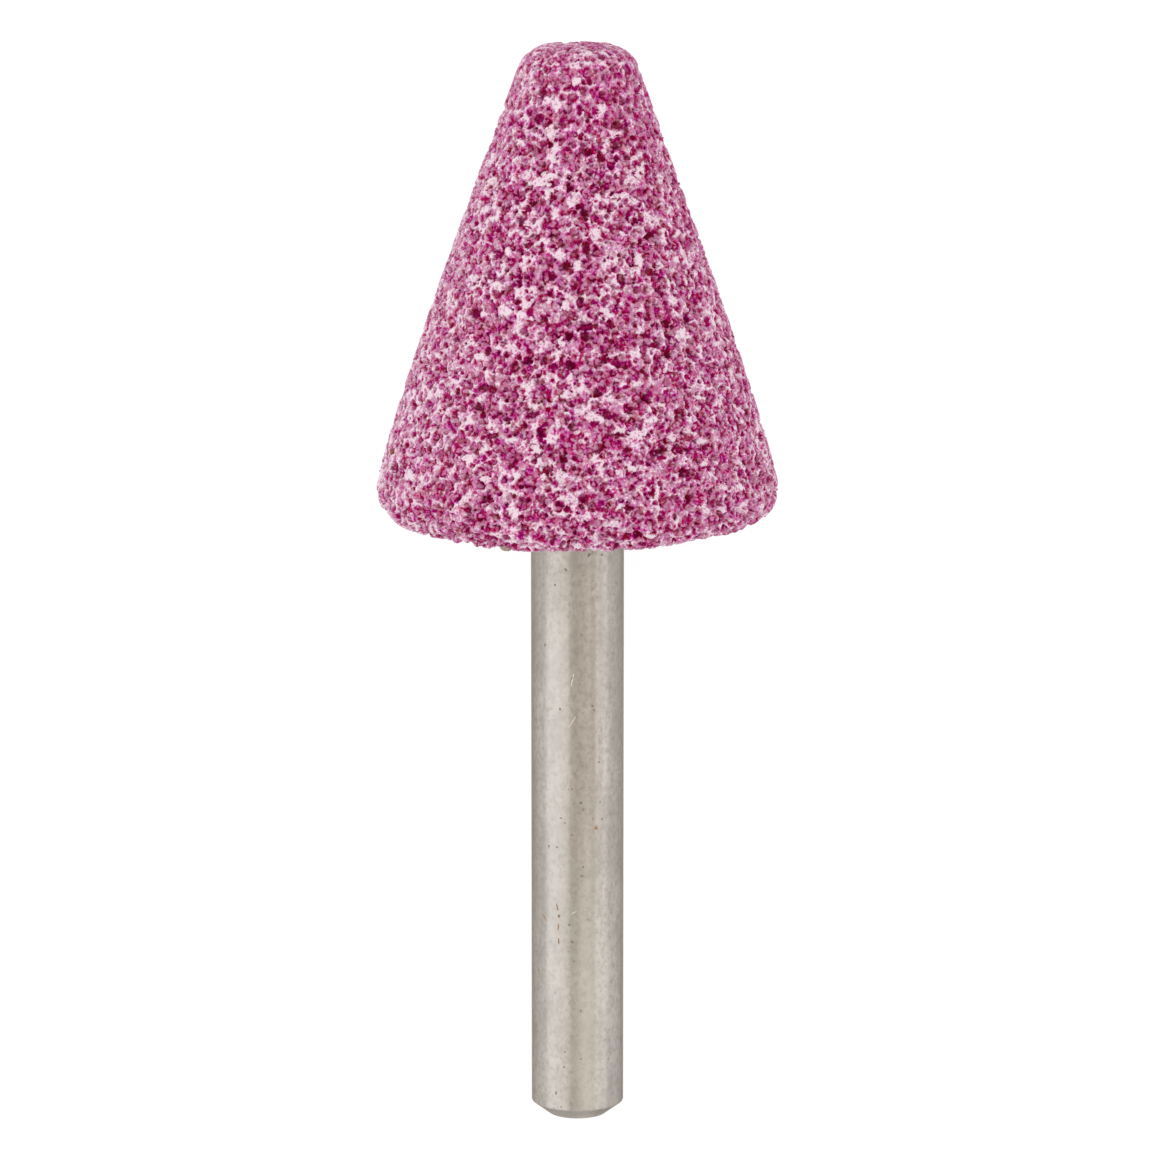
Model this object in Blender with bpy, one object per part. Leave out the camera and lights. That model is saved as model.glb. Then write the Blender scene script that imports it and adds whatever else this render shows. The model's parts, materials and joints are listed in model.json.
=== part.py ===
# Mounted point: a cone of pink fused alumina cemented onto the end of a plain steel shank.
# It lies on its side as it comes to rest, on the rim of the head and the free end of the shank.
# Units are metres, +Z is up and +Y runs along the tool towards the tip of the cone.

import math

import bmesh
import bpy
from mathutils import Matrix, Vector, noise

# Shank: a ground steel pin, its free part gripped by a collet
SHANK_RADIUS = 0.0030
SHANK_FREE_LENGTH = 0.0400
SHANK_BURIED_LENGTH = 0.0160
SHANK_SEGMENTS = 48
FREE_END_CHAMFER_IN = 0.0011
FREE_END_CHAMFER_ALONG = 0.00085
BURIED_END_CHAMFER = 0.0005

# Ring grooves turned in the buried part, which key it into the cement
GROOVE_COUNT = 3
GROOVE_WIDTH = 0.0016
GROOVE_DEPTH = 0.0003
GROOVE_PITCH = 0.0042
FIRST_GROOVE_START = 0.0030

# Grinding head: a cone with a rounded rim, a rounded tip and a slightly bowed flank
HEAD_LENGTH = 0.0305
HEAD_CORNER_RADIUS = 0.0138
TIP_CORNER_RADIUS = 0.0032
RIM_ROUNDING = 0.0021
TIP_ROUNDING = 0.0023
FLANK_BOW = 0.00017
HEAD_SEGMENTS = 72
SKIN_STEP = 0.0011
RIM_ARC_STEPS = 5
TIP_ARC_STEPS = 5

# Open pores between the grains of the head's trued skin, and the share of it that has none
PORE_DEPTH = 0.00036
PORE_SPACING = 0.0008
PORE_FULL_RADIUS = 0.0090
CLOSED_SHARE = 0.4

# Flat worn on the rim where the tool is set down, about 3.4 mm wide and 0.1 mm deep
RIM_FLAT_HALF_ANGLE = math.radians(7.5)
RIM_FLAT_LENGTH = 0.0040

# Cement between the shank and the blind bore of the head, with a collar squeezed out at the mouth
GAP = 0.00015
CEMENT_WALL = 0.0003
CEMENT_END_WALL = 0.0006
COLLAR_RADIUS = 0.0043
COLLAR_HEIGHT = 0.0005
COLLAR_EDGE = 0.0002

BORE_RADIUS = SHANK_RADIUS + GAP + CEMENT_WALL + GAP
BORE_DEPTH = SHANK_BURIED_LENGTH + GAP + CEMENT_END_WALL + GAP
MERGE_DISTANCE = 1e-7


def clear_scene():
    for thing in list(bpy.data.objects):
        bpy.data.objects.remove(thing)


def make_material(name, colour, roughness, metallic):
    material = bpy.data.materials.new(name)
    material.use_nodes = True
    shader = material.node_tree.nodes["Principled BSDF"]
    shader.inputs["Base Color"].default_value = (*colour, 1.0)
    shader.inputs["Roughness"].default_value = roughness
    shader.inputs["Metallic"].default_value = metallic
    return material


def turned_mesh(name, outline, segments):
    """A solid of revolution about Z. The outline's points are (radius, height), from axis to axis.
    The segments are placed so that a flat one, not a corner, faces straight down."""
    mesh = bpy.data.meshes.new(name)
    shape = bmesh.new()
    first_angle = math.pi / segments
    points = []
    for radius, height in outline:
        place = (radius * math.cos(first_angle), radius * math.sin(first_angle), height)
        points.append(shape.verts.new(place))
    edges = [shape.edges.new(pair) for pair in zip(points, points[1:])]
    bmesh.ops.spin(
        shape,
        geom=points + edges,
        axis=(0, 0, 1),
        cent=(0, 0, 0),
        steps=segments,
        angle=2 * math.pi,
    )
    bmesh.ops.remove_doubles(shape, verts=shape.verts, dist=MERGE_DISTANCE)
    bmesh.ops.recalc_face_normals(shape, faces=shape.faces)
    shape.to_mesh(mesh)
    shape.free()
    return mesh


def arc(centre, radius, start, end, steps):
    """Points round a centre (radius, height), from one angle to another, both ends included."""
    angles = [start + (end - start) * step / steps for step in range(steps + 1)]
    return [
        (centre[0] + radius * math.cos(a), centre[1] + radius * math.sin(a)) for a in angles
    ]


def straight(start, end, bow=0.0):
    """Points between two ends, both left out, about SKIN_STEP apart and bowed out sideways."""
    along = Vector(end) - Vector(start)
    outward = Vector((along.y, -along.x)).normalized()
    steps = max(1, round(along.length / SKIN_STEP))
    points = []
    for step in range(1, steps):
        share = step / steps
        point = Vector(start) + along * share + outward * bow * 4 * share * (1 - share)
        points.append(tuple(point))
    return points


def head_skin():
    """The outside of the head, from the mouth of its bore to the middle of its tip."""
    lean = math.atan2(HEAD_CORNER_RADIUS - TIP_CORNER_RADIUS, HEAD_LENGTH)
    rim_inset = RIM_ROUNDING / math.tan((math.pi / 2 - lean) / 2)
    tip_inset = TIP_ROUNDING / math.tan((math.pi / 2 + lean) / 2)
    rim_centre = (HEAD_CORNER_RADIUS - rim_inset, RIM_ROUNDING)
    tip_centre = (TIP_CORNER_RADIUS - tip_inset, HEAD_LENGTH - TIP_ROUNDING)
    rim = arc(rim_centre, RIM_ROUNDING, -math.pi / 2, lean, RIM_ARC_STEPS)
    tip = arc(tip_centre, TIP_ROUNDING, lean, math.pi / 2, TIP_ARC_STEPS)
    mouth = (BORE_RADIUS, 0.0)
    summit = (0.0, HEAD_LENGTH)
    skin = [mouth] + straight(mouth, rim[0]) + rim
    skin += straight(rim[-1], tip[0], FLANK_BOW) + tip
    return skin + straight(tip[-1], summit) + [summit]


def on_rim_flat(place):
    """Whether a point of the head is at the worn flat of its rim, on the side that faces +Y."""
    edge = place.xy.length * math.cos(RIM_FLAT_HALF_ANGLE) - MERGE_DISTANCE
    return place.y > edge and place.z < RIM_FLAT_LENGTH


def wear_rim_flat(mesh):
    """The round tool would roll, so it comes to rest where its rim has been worn a little flat."""
    for point in mesh.vertices:
        if on_rim_flat(point.co):
            point.co.y = point.co.xy.length * math.cos(RIM_FLAT_HALF_ANGLE)


def sink_pores(mesh):
    """Pores go in from the trued skin, which stays where the dresser left it. Part of the skin is
    closed, and most pores are shallow, because the depth follows the square of a random share.
    The bore and the worn flat have none, and they thin out towards the middle of the tip and of
    the base, where the mesh's segments run together."""
    shape = bmesh.new()
    shape.from_mesh(mesh)
    shape.normal_update()
    moves = []
    for point in shape.verts:
        radius = point.co.xy.length
        beside_bore = radius < BORE_RADIUS + MERGE_DISTANCE
        in_bore = beside_bore and point.co.z < BORE_DEPTH + MERGE_DISTANCE
        if not in_bore and not on_rim_flat(point.co):
            room = min(1.0, radius / PORE_FULL_RADIUS)
            share = (noise.cell(point.co / PORE_SPACING) - CLOSED_SHARE) / (1 - CLOSED_SHARE)
            moves.append((point, point.normal * PORE_DEPTH * (room * max(0.0, share)) ** 2))
    for point, inward in moves:
        point.co -= inward
    shape.to_mesh(mesh)
    shape.free()


def grinding_head():
    outline = [(0.0, BORE_DEPTH), (BORE_RADIUS, BORE_DEPTH)] + head_skin()
    mesh = turned_mesh("grinding_head", outline, HEAD_SEGMENTS)
    sink_pores(mesh)
    wear_rim_flat(mesh)
    mesh.materials.append(make_material("fused_alumina", (0.46, 0.16, 0.27), 0.75, 0.0))
    return mesh


def grooves(land_radius, inset):
    """The grooved stretch, from the head's base inwards, with each groove narrowed by inset."""
    points = []
    for number in range(GROOVE_COUNT):
        near = FIRST_GROOVE_START + number * GROOVE_PITCH + inset
        far = near + GROOVE_WIDTH - 2 * inset
        floor_radius = land_radius - GROOVE_DEPTH
        points += [(land_radius, near), (floor_radius, near)]
        points += [(floor_radius, far), (land_radius, far)]
    return points


def shank():
    end = SHANK_BURIED_LENGTH
    outline = [
        (0.0, -SHANK_FREE_LENGTH),
        (SHANK_RADIUS - FREE_END_CHAMFER_IN, -SHANK_FREE_LENGTH),
        (SHANK_RADIUS, FREE_END_CHAMFER_ALONG - SHANK_FREE_LENGTH),
    ]
    outline += grooves(SHANK_RADIUS, 0.0)
    outline += [
        (SHANK_RADIUS, end - BURIED_END_CHAMFER),
        (SHANK_RADIUS - BURIED_END_CHAMFER, end),
        (0.0, end),
    ]
    mesh = turned_mesh("shank", outline, SHANK_SEGMENTS)
    mesh.materials.append(make_material("ground_steel", (0.52, 0.48, 0.43), 0.32, 1.0))
    return mesh


def bonding_cement():
    """A closed sleeve round the buried part, whose ridges sit in the grooves of the shank."""
    inner = SHANK_RADIUS + GAP
    outer = inner + CEMENT_WALL
    inner_end = SHANK_BURIED_LENGTH + GAP
    outline = [(0.0, inner_end), (inner, inner_end)]
    outline += reversed(grooves(inner, GAP))
    outline += [
        (inner, -GAP - COLLAR_HEIGHT),
        (inner + COLLAR_EDGE, -GAP - COLLAR_HEIGHT),
        (COLLAR_RADIUS, -GAP - COLLAR_EDGE),
        (COLLAR_RADIUS, -GAP),
        (outer, -GAP),
        (outer, inner_end + CEMENT_END_WALL),
        (0.0, inner_end + CEMENT_END_WALL),
    ]
    mesh = turned_mesh("bonding_cement", outline, SHANK_SEGMENTS)
    mesh.materials.append(make_material("cement", (0.42, 0.38, 0.33), 0.85, 0.0))
    return mesh


def resting_angle(head):
    """How far the axis slopes up towards the tip: the steepest line from the lower edge of the
    shank's end to a point of the head, since both touch the surface."""
    edge_radius = SHANK_RADIUS * math.cos(math.pi / SHANK_SEGMENTS)
    edge_height = FREE_END_CHAMFER_ALONG - SHANK_FREE_LENGTH
    return max(
        math.atan2(point.co.y - edge_radius, point.co.z - edge_height) for point in head.vertices
    )


def laid_down(meshes, angle):
    """Turns the upright tool onto its side and sets it down in the middle of its own footprint."""
    pose = Matrix.Rotation(angle - math.pi / 2, 4, "X")
    places = [pose @ point.co for mesh in meshes for point in mesh.vertices]
    lowest = Vector(min(place[axis] for place in places) for axis in range(3))
    highest = Vector(max(place[axis] for place in places) for axis in range(3))
    middle = (lowest + highest) / 2
    return Matrix.Translation((-middle.x, -middle.y, -lowest.z)) @ pose


def main():
    clear_scene()
    meshes = [grinding_head(), shank(), bonding_cement()]
    axis = bpy.data.objects.new("tool_axis", None)
    bpy.context.scene.collection.objects.link(axis)
    axis.matrix_world = laid_down(meshes, resting_angle(meshes[0]))
    for mesh in meshes:
        mesh.shade_smooth()
        mesh.set_sharp_from_angle(angle=math.radians(30))
        piece = bpy.data.objects.new(mesh.name, mesh)
        bpy.context.scene.collection.objects.link(piece)
        piece.parent = axis


main()
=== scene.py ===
# Mounted point: a trued cone of pink fused alumina, cemented onto a round ground steel shank.
# It lies on its side on a white surface, and the camera looks down on it.

import json
import math

import bmesh
import bpy
import numpy as np
from mathutils import Matrix, Vector, noise


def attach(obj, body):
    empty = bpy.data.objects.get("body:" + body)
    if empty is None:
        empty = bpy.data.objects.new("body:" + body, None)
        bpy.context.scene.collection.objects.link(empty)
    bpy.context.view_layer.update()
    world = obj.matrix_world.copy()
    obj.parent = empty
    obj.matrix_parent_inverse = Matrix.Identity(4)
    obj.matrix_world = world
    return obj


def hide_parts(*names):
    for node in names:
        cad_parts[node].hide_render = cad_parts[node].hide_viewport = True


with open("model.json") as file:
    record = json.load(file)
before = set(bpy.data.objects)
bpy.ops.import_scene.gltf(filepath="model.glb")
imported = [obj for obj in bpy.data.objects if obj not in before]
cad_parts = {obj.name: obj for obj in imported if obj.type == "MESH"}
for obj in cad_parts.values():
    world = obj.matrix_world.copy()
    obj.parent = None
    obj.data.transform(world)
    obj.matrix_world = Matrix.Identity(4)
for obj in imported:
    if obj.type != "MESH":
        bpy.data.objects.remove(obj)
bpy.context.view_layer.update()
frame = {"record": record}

scene = bpy.context.scene

# Shank: a round pin of tool steel, ground to 6 mm between wheels, which leaves fine rings round
# it. Its free end is faced and chamfered to go into the collet, and its hidden end has three
# turned grooves that key it into the cement.
SHANK_RADIUS = 0.0030
SHANK_FREE_LENGTH = 0.0400
SHANK_BURIED_LENGTH = 0.0160
SHANK_SEGMENTS = 192
FREE_END_CHAMFER_IN = 0.0011
FREE_END_CHAMFER_ALONG = 0.00085
BURIED_END_CHAMFER = 0.0005
GROOVE_STARTS = (0.0030, 0.0072, 0.0114)
GROOVE_WIDTH = 0.0016
GROOVE_DEPTH = 0.0003
STEEL_EDGE = 0.00006
FULL_TURN = 2 * math.pi
MERGE_DISTANCE = 1e-7
RINGS_MAP_LENGTH = 0.02

# The record gives the middle of the shank's free end and the way that it faces. In the tool's own
# coordinates the head's base is at height 0, +Z points to the tip and -Y is the upper side.
shank_end = next(m for m in frame["record"]["mounts"] if m["name"] == "shank_end")
tip_way = -Vector(shank_end["axis"]).normalized()
side_way = Vector((1.0, 0.0, 0.0))
base_centre = Vector(shank_end["pos_m"]) + tip_way * SHANK_FREE_LENGTH
TOOL = Matrix.LocRotScale(
    base_centre,
    Matrix((side_way, tip_way.cross(side_way), tip_way)).transposed().to_quaternion(),
    None,
)


def softened(corners, width, steps=3, hold=1.7):
    """The outline with its inner corners rounded over the given width, and held by a near point."""
    points = [Vector(corners[0])]
    for before, corner, after in zip(corners, corners[1:], corners[2:]):
        corner = Vector(corner)
        back = (Vector(before) - corner).normalized() * width
        onward = (Vector(after) - corner).normalized() * width
        points.append(corner + back * hold)
        for step in range(steps + 1):
            share = step / steps
            points.append(corner + back * (1 - share) ** 2 + onward * share**2)
        points.append(corner + onward * hold)
    points.append(Vector(corners[-1]))
    return points


def smooth_mesh(name, shape):
    """The mesh of a finished shape, shaded smooth. The shape itself is let go."""
    mesh = bpy.data.meshes.new(name)
    shape.to_mesh(mesh)
    shape.free()
    mesh.shade_smooth()
    return mesh


def turned(name, outline, segments):
    """A closed solid of revolution, in the tool's coordinates. The outline is (radius, height)."""
    shape = bmesh.new()
    points = [shape.verts.new((radius, 0.0, height)) for radius, height in outline]
    edges = [shape.edges.new(pair) for pair in zip(points, points[1:])]
    bmesh.ops.spin(
        shape,
        geom=points + edges,
        axis=(0, 0, 1),
        cent=(0, 0, 0),
        steps=segments,
        angle=FULL_TURN,
    )
    bmesh.ops.remove_doubles(shape, verts=shape.verts, dist=MERGE_DISTANCE)
    bmesh.ops.recalc_face_normals(shape, faces=shape.faces)
    return smooth_mesh(name, shape)


def wrap_map(mesh):
    """A UV map that goes once round the axis, so that the steel knows which way its rings run."""
    layer = mesh.uv_layers.new(name="rings")
    for face in mesh.polygons:
        corners = [mesh.vertices[mesh.loops[loop].vertex_index].co for loop in face.loop_indices]
        turns = [math.atan2(co.y, co.x) / FULL_TURN for co in corners]
        for loop, co, turn in zip(face.loop_indices, corners, turns):
            if turn < max(turns) - 0.5:
                turn += 1.0
            layer.data[loop].uv = (turn, co.z / RINGS_MAP_LENGTH)


def shown(mesh, node_name):
    """Puts a finished mesh in its place as a piece that rides on the part and stands for a node."""
    mesh.transform(TOOL)
    piece = bpy.data.objects.new(mesh.name, mesh)
    scene.collection.objects.link(piece)
    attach(piece, "root")
    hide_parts(node_name)
    return piece


def add(tree, kind, values=None, **settings):
    """A node, with its settings, and its inputs set to values or joined to other nodes' outputs."""
    made = tree.nodes.new(kind)
    for name, value in settings.items():
        setattr(made, name, value)
    for key, value in (values or {}).items():
        if isinstance(value, bpy.types.NodeSocket):
            tree.links.new(value, made.inputs[key])
        else:
            made.inputs[key].default_value = value
    return made


def new_finish(name):
    """A material with its tree, its shader, and coordinates in the tool's own frame."""
    finish = bpy.data.materials.new(name)
    finish.use_nodes = True
    tree = finish.node_tree
    shader = tree.nodes["Principled BSDF"]
    back = TOOL.inverted()
    spot = add(tree, "ShaderNodeTexCoord").outputs["Object"]
    values = {"Vector": spot, "Location": back.to_translation(), "Rotation": back.to_euler()}
    turned_spot = add(tree, "ShaderNodeMapping", values)
    return finish, tree, shader, turned_spot.outputs["Vector"]


def spread(tree, where, size, detail=2.0, roughness=0.5, stretch=(1, 1, 1), shift=0.0):
    """Soft random noise whose blobs are about the given size, in metres."""
    values = {0: where, 1: stretch, 2: (shift, shift, shift)}
    placed = add(tree, "ShaderNodeVectorMath", values, operation="MULTIPLY_ADD").outputs[0]
    values = {"Vector": placed, "Scale": 1 / size, "Detail": detail, "Roughness": roughness}
    return add(tree, "ShaderNodeTexNoise", values).outputs["Fac"]


def between(tree, value, low, high, bottom=0.0, top=1.0):
    """The value's part of the way from low to high, as a number from bottom to top."""
    values = {"Value": value, "From Min": low, "From Max": high, "To Min": bottom, "To Max": top}
    made = add(tree, "ShaderNodeMapRange", values, interpolation_type="SMOOTHSTEP")
    return made.outputs["Result"]


def times(tree, first, second, operation="MULTIPLY"):
    """The product of two numbers, or what another operation makes of them."""
    return add(tree, "ShaderNodeMath", {0: first, 1: second}, operation=operation).outputs[0]


def plus(tree, value, extra, share):
    """A number with a share of another one added to it."""
    return times(tree, value, times(tree, extra, share), "ADD")


def split(tree, whole):
    """The three numbers of a place, a way or a colour."""
    return add(tree, "ShaderNodeSeparateXYZ", {0: whole}).outputs


def blended(tree, share, first, second):
    """A mix of two colours, each a tuple or another node's output. The mix node takes colours at
    its inputs 6 and 7 and gives one at its output 2."""
    first, second = ((*c, 1.0) if isinstance(c, tuple) else c for c in (first, second))
    values = {0: share, 6: first, 7: second}
    return add(tree, "ShaderNodeMix", values, data_type="RGBA").outputs[2]


def raised(tree, shader, height, distance):
    """Gives the shader a fine relief, which is the distance high where the height is 1."""
    bump = add(tree, "ShaderNodeBump", {"Height": height, "Distance": distance, "Strength": 1.0})
    tree.links.new(bump.outputs["Normal"], shader.inputs["Normal"])


# Tones of the steel, and the sizes of their patterns. The grinding has left it brighter and duller
# in soft patches, with a thin patina, grime and dots of dirt on it. A fade below is (one height,
# another height, how much shows at each), and where it gives no shares, they are 0 and 1.
DULL_STEEL = (0.410, 0.383, 0.353)
BRIGHT_STEEL = (0.52, 0.487, 0.452)
STEEL_SHEEN = (0.52, 0.48, 0.45)
PATINA_TINT = (0.33, 0.295, 0.26)
GRIME_TINT = (0.30, 0.27, 0.24)
DOT_TINT = (0.20, 0.17, 0.14)
MOTTLE_SIZE = 0.0016
PATINA_SIZE = 0.0006
GRIME_SIZE = 0.00026
DOT_SIZE = 0.00022
RING_PITCH = 0.00005
RING_RELIEF = 0.000003

# Faint brown painted shade in streaks along the shank, on its top and on both sides, weaker towards
# its free end. Each is (degrees round from the top, half its width, strength).
SHADE_STREAK_TINT = (0.25, 0.19, 0.145)
SHADE_STREAKS = (
    (5.0, 11.0, 0.22), (19.5, 6.0, 0.24), (30.0, 7.0, 0.20),
    (-68.0, 16.0, 0.12), (60.0, 24.0, 0.14),
)
SHADE_STREAK_FADE = (-0.031, -0.016, 0.35, 1.0)

# A painted highlight makes the upper side a little brighter towards the free end. A painted highlight
# makes the left side brighter and greyer, but not at its two ends, and a painted shade goes round the
# edge of the chamfer.
FREE_END_HIGHLIGHT_TINT = (0.66, 0.625, 0.58)
FREE_END_HIGHLIGHT_STREAK = (10.0, 24.0, 0.38)
FREE_END_HIGHLIGHT_FADE = (-0.014, -0.034)
LEFT_HIGHLIGHT_TINT = (0.56, 0.55, 0.54)
LEFT_HIGHLIGHT_SHARE = 0.30
LEFT_HIGHLIGHT_DEGREES = ((-2, -20), (-52, -36))
LEFT_HIGHLIGHT_FADES = ((-0.002, -0.010, 0.2, 1.0), (-0.038, -0.026, 0.6, 1.0))
CHAMFER_SHADE_TINT = (0.24, 0.22, 0.20)
CHAMFER_SHADE_START = (-0.03905, -0.03920, 0.0, 0.24)
CHAMFER_SHADE_END = (-0.03980, -0.03940)


def streak(tree, around, middle, half_width, strength):
    """How strong a mark along the shank is. It fades from its middle line to its sides."""
    apart = times(tree, times(tree, around, math.radians(middle), "SUBTRACT"), 0.0, "ABSOLUTE")
    return between(tree, apart, math.radians(half_width), 0.0, 0.0, strength)


def steel_finish():
    finish, tree, shader, where = new_finish("ground_steel_with_rings")
    mottle = spread(tree, where, MOTTLE_SIZE, 4.0, 0.6, (1, 1, 0.45))
    patina = between(tree, spread(tree, where, PATINA_SIZE, 5.0, 0.62, shift=3.0), 0.42, 0.70)
    dots = between(tree, spread(tree, where, DOT_SIZE, 1.0, 0.4, shift=7.0), 0.66, 0.78)
    rings = spread(tree, where, RING_PITCH, 2.0, 0.7, (0.03, 0.03, 1))
    grime = spread(tree, where, GRIME_SIZE, 3.0, 0.7, (1, 1, 0.7), shift=5.0)
    colour = blended(tree, between(tree, mottle, 0.3, 0.7), DULL_STEEL, BRIGHT_STEEL)
    colour = blended(tree, times(tree, patina, 0.25), colour, PATINA_TINT)
    colour = blended(tree, between(tree, grime, 0.42, 0.70, 0.0, 0.58), colour, GRIME_TINT)
    colour = blended(tree, times(tree, dots, 0.40), colour, DOT_TINT)
    right, under, height = split(tree, where)
    around = times(tree, right, times(tree, under, -1.0), "ARCTAN2")
    # Painted shade: darker brown streaks on the top near the head and on both sides.
    for middle, half_width, strength in SHADE_STREAKS:
        shade_streak = streak(tree, around, middle, half_width, strength)
        shade_streak = times(tree, shade_streak, between(tree, height, *SHADE_STREAK_FADE))
        shade_streak = times(tree, shade_streak, between(tree, mottle, 0.25, 0.6, 0.6, 1.2))
        colour = blended(tree, shade_streak, colour, SHADE_STREAK_TINT)
    # Painted highlight: the upper side brighter towards the free end.
    free_end_highlight = streak(tree, around, *FREE_END_HIGHLIGHT_STREAK)
    free_end_highlight = times(tree, free_end_highlight, between(tree, height, *FREE_END_HIGHLIGHT_FADE))
    colour = blended(tree, free_end_highlight, colour, FREE_END_HIGHLIGHT_TINT)
    # Painted highlight: the left side brighter and greyer, where the left lamp shines.
    inner_side, outer_side = (tuple(map(math.radians, pair)) for pair in LEFT_HIGHLIGHT_DEGREES)
    left_highlight = between(tree, around, *inner_side, 0.0, LEFT_HIGHLIGHT_SHARE)
    left_highlight = times(tree, left_highlight, between(tree, around, *outer_side))
    for fade in LEFT_HIGHLIGHT_FADES:
        left_highlight = times(tree, left_highlight, between(tree, height, *fade))
    colour = blended(tree, left_highlight, colour, LEFT_HIGHLIGHT_TINT)
    # Painted shade: the chamfer of the free end darker.
    chamfer_shade = between(tree, height, *CHAMFER_SHADE_START)
    chamfer_shade = times(tree, chamfer_shade, between(tree, height, *CHAMFER_SHADE_END))
    colour = blended(tree, chamfer_shade, colour, CHAMFER_SHADE_TINT)
    tree.links.new(colour, shader.inputs["Base Color"])
    rough = between(tree, mottle, 0.25, 0.75, 0.28, 0.34)
    rough = plus(tree, rough, patina, 0.06)
    tree.links.new(rough, shader.inputs["Roughness"])
    shader.inputs["Metallic"].default_value = 1.0
    shader.inputs["Specular Tint"].default_value = (*STEEL_SHEEN, 1.0)
    shader.inputs["Anisotropic"].default_value = 0.80
    shader.inputs["Anisotropic Rotation"].default_value = 0.25
    way = add(tree, "ShaderNodeTangent", direction_type="UV_MAP", uv_map="rings")
    tree.links.new(way.outputs["Tangent"], shader.inputs["Tangent"])
    raised(tree, shader, plus(tree, rings, dots, -1.5), RING_RELIEF)
    return finish


shank_outline = [
    (0.0, -SHANK_FREE_LENGTH),
    (SHANK_RADIUS - FREE_END_CHAMFER_IN, -SHANK_FREE_LENGTH),
    (SHANK_RADIUS, FREE_END_CHAMFER_ALONG - SHANK_FREE_LENGTH),
]
for start in GROOVE_STARTS:
    floor_radius = SHANK_RADIUS - GROOVE_DEPTH
    shank_outline += [(SHANK_RADIUS, start), (floor_radius, start)]
    shank_outline += [(floor_radius, start + GROOVE_WIDTH), (SHANK_RADIUS, start + GROOVE_WIDTH)]
shank_outline += [
    (SHANK_RADIUS, SHANK_BURIED_LENGTH - BURIED_END_CHAMFER),
    (SHANK_RADIUS - BURIED_END_CHAMFER, SHANK_BURIED_LENGTH),
    (0.0, SHANK_BURIED_LENGTH),
]
shank_mesh = turned("steel_shank", softened(shank_outline, STEEL_EDGE), SHANK_SEGMENTS)
wrap_map(shank_mesh)
shank_mesh.materials.append(steel_finish())
shown(shank_mesh, "shank")

# Marks on the shank: specks of dirt and pitting, a few rust spots and six short scratches from
# handling. Each is (height along the tool, degrees round from the top, length, width, lean to the
# left), in millimetres and degrees.
SPECKS = (
    (-2.96, -14.2, 0.32, 0.17, 30), (-1.98, 14.3, 0.30, 0.20, -30), (-2.05, 31.6, 0.12, 0.28, 0),
    (-4.01, -28.7, 0.24, 0.13, 35), (-8.07, -44.1, 0.22, 0.18, 0), (-11.94, 18.2, 0.20, 0.22, 0),
    (-12.22, 20.8, 0.20, 0.20, 0), (-12.16, -22.0, 0.20, 0.16, 0), (-15.71, 27.6, 0.16, 0.16, 0),
    (-18.35, 4.4, 0.20, 0.26, -50), (-18.80, 6.9, 0.18, 0.24, 40), (-21.40, -37.9, 0.24, 0.16, 0),
    (-21.38, -26.2, 0.16, 0.14, 0), (-26.54, -10.5, 0.22, 0.20, 0), (-27.68, -6.8, 0.16, 0.30, -35),
    (-26.21, 13.2, 0.12, 0.18, 0), (-32.34, 4.4, 0.22, 0.20, 0), (-36.18, -17.0, 0.18, 0.18, 0),
    (-38.01, -27.9, 0.34, 0.16, -10), (-38.92, -21.0, 0.16, 0.14, 0), (-29.95, -56.7, 0.20, 0.24, 0),
    (-22.64, 6.9, 0.18, 0.16, 0), (-23.24, 5.6, 0.16, 0.26, 0), (-28.96, -4.3, 0.18, 0.14, 0),
    (-35.15, -15.7, 0.18, 0.14, 0), (-35.59, 4.4, 0.16, 0.16, 0), (-17.42, -6.7, 0.18, 0.14, 0),
    (-19.41, -20.8, 0.10, 0.26, -10), (-19.72, -15.6, 0.10, 0.16, -20), (-18.38, 29.1, 0.18, 0.12, 0),
    (-19.54, 32.0, 0.20, 0.12, 0), (-20.50, -6.8, 0.14, 0.22, 0), (-10.1, -7.0, 0.34, 0.10, -25),
)
RUST_SPOTS = (
    (-20.09, 23.6, 0.36, 0.28, 25), (-26.25, -45.5, 0.70, 0.18, 38),
    (-25.40, -26.0, 0.62, 0.12, 12), (-26.00, -23.6, 0.26, 0.20, 0),
    (-26.75, -24.5, 0.62, 0.13, -5), (-27.70, -24.0, 0.55, 0.12, 0),
)
SCRATCHES = (
    (-10.2, -6.2, 1.15, 0.10, -10), (-13.0, -6.8, 1.20, 0.08, -33), (-25.7, -4.3, 0.50, 0.10, -60),
    (-4.4, 20.0, 0.55, 0.07, -18), (-31.9, -30.0, 0.45, 0.06, -12), (-15.2, -39.0, 0.60, 0.06, -8),
)
FLAKE_CORNERS = 12
FLAKE_TOP_SHARE = 0.72
FLAKE_RAGGEDNESS = 0.22
CRUST_PATCH = 0.00009


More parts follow.
